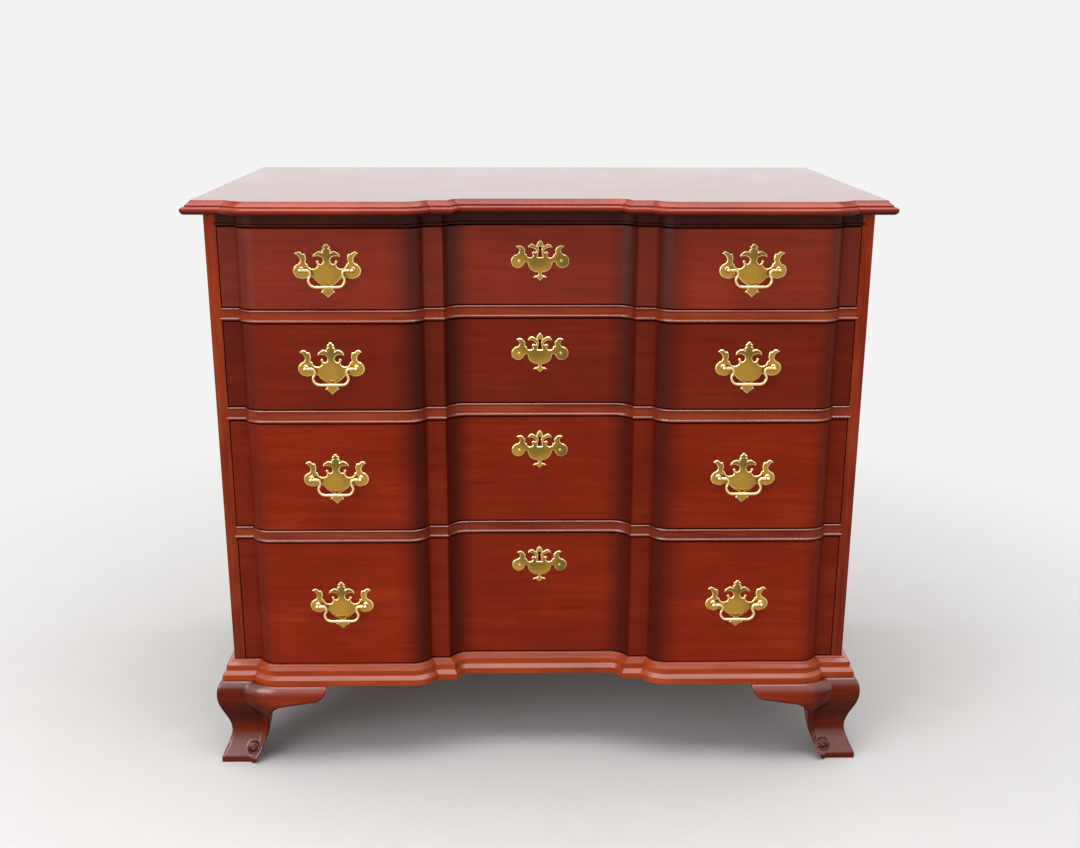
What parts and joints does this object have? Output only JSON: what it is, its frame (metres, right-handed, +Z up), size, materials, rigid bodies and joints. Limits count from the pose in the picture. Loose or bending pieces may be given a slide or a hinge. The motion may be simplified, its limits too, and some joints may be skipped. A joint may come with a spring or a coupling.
{
  "type": "block front chest of drawers",
  "caption": "Low chest of drawers with a block front, moulded top, ogee bracket feet, swinging brass bail pulls and pierced keyhole plates.",
  "frame": {"origin": "on the floor, under the middle of the whole chest's box", "axes": "+Z up, +X to the right of someone who faces the drawers, -Y out of the front"},
  "size_m": [0.9652, 0.5474, 0.8437],
  "materials": {
    "cherry": "satin red-brown stained hardwood",
    "inner_wood": "plain unfinished secondary wood",
    "polished_brass": "polished and lacquered",
    "lock_brass": "dull",
    "bolt_steel": "brushed"
  },
  "bodies": {
    "case": {"back_boards": "inner_wood", "base_moulding_front": "cherry", "base_moulding_sides": "cherry", "bottom_board": "cherry", "divider_rail_1": "cherry", "divider_rail_2": "cherry", "divider_rail_3": "cherry", "drawer_runners": "inner_wood", "foot_front_left": "cherry", "foot_front_right": "cherry", "foot_rear_left": "cherry", "foot_rear_right": "cherry", "side_left": "cherry", "side_right": "cherry", "top": "cherry", "top_rails": "cherry"},
    "drawer_1": {"drawer_1_front": "cherry", "drawer_1_sides": "inner_wood", "drawer_1_back": "inner_wood", "drawer_1_bottom": "inner_wood", "drawer_1_pull_plates": "polished_brass", "drawer_1_pull_posts": "polished_brass", "drawer_1_escutcheon": "polished_brass", "drawer_1_lock": "lock_brass"},
    "drawer_1_bail_left_body": {"drawer_1_bail_left": "polished_brass"},
    "drawer_1_bail_right_body": {"drawer_1_bail_right": "polished_brass"},
    "drawer_1_bolt_body": {"drawer_1_bolt": "bolt_steel"},
    "drawer_2": {"drawer_2_front": "cherry", "drawer_2_sides": "inner_wood", "drawer_2_back": "inner_wood", "drawer_2_bottom": "inner_wood", "drawer_2_pull_plates": "polished_brass", "drawer_2_pull_posts": "polished_brass", "drawer_2_escutcheon": "polished_brass", "drawer_2_lock": "lock_brass"},
    "drawer_2_bail_left_body": {"drawer_2_bail_left": "polished_brass"},
    "drawer_2_bail_right_body": {"drawer_2_bail_right": "polished_brass"},
    "drawer_2_bolt_body": {"drawer_2_bolt": "bolt_steel"},
    "drawer_3": {"drawer_3_front": "cherry", "drawer_3_sides": "inner_wood", "drawer_3_back": "inner_wood", "drawer_3_bottom": "inner_wood", "drawer_3_pull_plates": "polished_brass", "drawer_3_pull_posts": "polished_brass", "drawer_3_escutcheon": "polished_brass", "drawer_3_lock": "lock_brass"},
    "drawer_3_bail_left_body": {"drawer_3_bail_left": "polished_brass"},
    "drawer_3_bail_right_body": {"drawer_3_bail_right": "polished_brass"},
    "drawer_3_bolt_body": {"drawer_3_bolt": "bolt_steel"},
    "drawer_4": {"drawer_4_front": "cherry", "drawer_4_sides": "inner_wood", "drawer_4_back": "inner_wood", "drawer_4_bottom": "inner_wood", "drawer_4_pull_plates": "polished_brass", "drawer_4_pull_posts": "polished_brass", "drawer_4_escutcheon": "polished_brass", "drawer_4_lock": "lock_brass"},
    "drawer_4_bail_left_body": {"drawer_4_bail_left": "polished_brass"},
    "drawer_4_bail_right_body": {"drawer_4_bail_right": "polished_brass"},
    "drawer_4_bolt_body": {"drawer_4_bolt": "bolt_steel"}
  },
  "joints": [
    {"name": "drawer_1_slide", "type": "slide", "parent": "case", "child": "drawer_1", "axis": [0, -1, 0], "range_m": [0, 0.33]},
    {"name": "drawer_1_bail_left_swing", "type": "hinge", "parent": "drawer_1", "child": "drawer_1_bail_left_body", "pos_m": [-0.29, -0.2579, 0.7513], "axis": [-1, 0, 0], "range_deg": [-12, 180]},
    {"name": "drawer_1_bail_right_swing", "type": "hinge", "parent": "drawer_1", "child": "drawer_1_bail_right_body", "pos_m": [0.29, -0.2579, 0.7513], "axis": [-1, 0, 0], "range_deg": [-12, 180]},
    {"name": "drawer_1_bolt_throw", "type": "slide", "parent": "drawer_1", "child": "drawer_1_bolt_body", "axis": [0, 0, 1], "range_m": [0, 0.008]},
    {"name": "drawer_2_slide", "type": "slide", "parent": "case", "child": "drawer_2", "axis": [0, -1, 0], "range_m": [0, 0.33]},
    {"name": "drawer_2_bail_left_swing", "type": "hinge", "parent": "drawer_2", "child": "drawer_2_bail_left_body", "pos_m": [-0.29, -0.2579, 0.6144], "axis": [-1, 0, 0], "range_deg": [-12, 180]},
    {"name": "drawer_2_bail_right_swing", "type": "hinge", "parent": "drawer_2", "child": "drawer_2_bail_right_body", "pos_m": [0.29, -0.2579, 0.6144], "axis": [-1, 0, 0], "range_deg": [-12, 180]},
    {"name": "drawer_2_bolt_throw", "type": "slide", "parent": "drawer_2", "child": "drawer_2_bolt_body", "axis": [0, 0, 1], "range_m": [0, 0.008]},
    {"name": "drawer_3_slide", "type": "slide", "parent": "case", "child": "drawer_3", "axis": [0, -1, 0], "range_m": [0, 0.33]},
    {"name": "drawer_3_bail_left_swing", "type": "hinge", "parent": "drawer_3", "child": "drawer_3_bail_left_body", "pos_m": [-0.29, -0.2579, 0.4528], "axis": [-1, 0, 0], "range_deg": [-12, 180]},
    {"name": "drawer_3_bail_right_swing", "type": "hinge", "parent": "drawer_3", "child": "drawer_3_bail_right_body", "pos_m": [0.29, -0.2579, 0.4528], "axis": [-1, 0, 0], "range_deg": [-12, 180]},
    {"name": "drawer_3_bolt_throw", "type": "slide", "parent": "drawer_3", "child": "drawer_3_bolt_body", "axis": [0, 0, 1], "range_m": [0, 0.008]},
    {"name": "drawer_4_slide", "type": "slide", "parent": "case", "child": "drawer_4", "axis": [0, -1, 0], "range_m": [0, 0.33]},
    {"name": "drawer_4_bail_left_swing", "type": "hinge", "parent": "drawer_4", "child": "drawer_4_bail_left_body", "pos_m": [-0.29, -0.2579, 0.25735], "axis": [-1, 0, 0], "range_deg": [-12, 180]},
    {"name": "drawer_4_bail_right_swing", "type": "hinge", "parent": "drawer_4", "child": "drawer_4_bail_right_body", "pos_m": [0.29, -0.2579, 0.25735], "axis": [-1, 0, 0], "range_deg": [-12, 180]},
    {"name": "drawer_4_bolt_throw", "type": "slide", "parent": "drawer_4", "child": "drawer_4_bolt_body", "axis": [0, 0, 1], "range_m": [0, 0.008]}
  ]
}
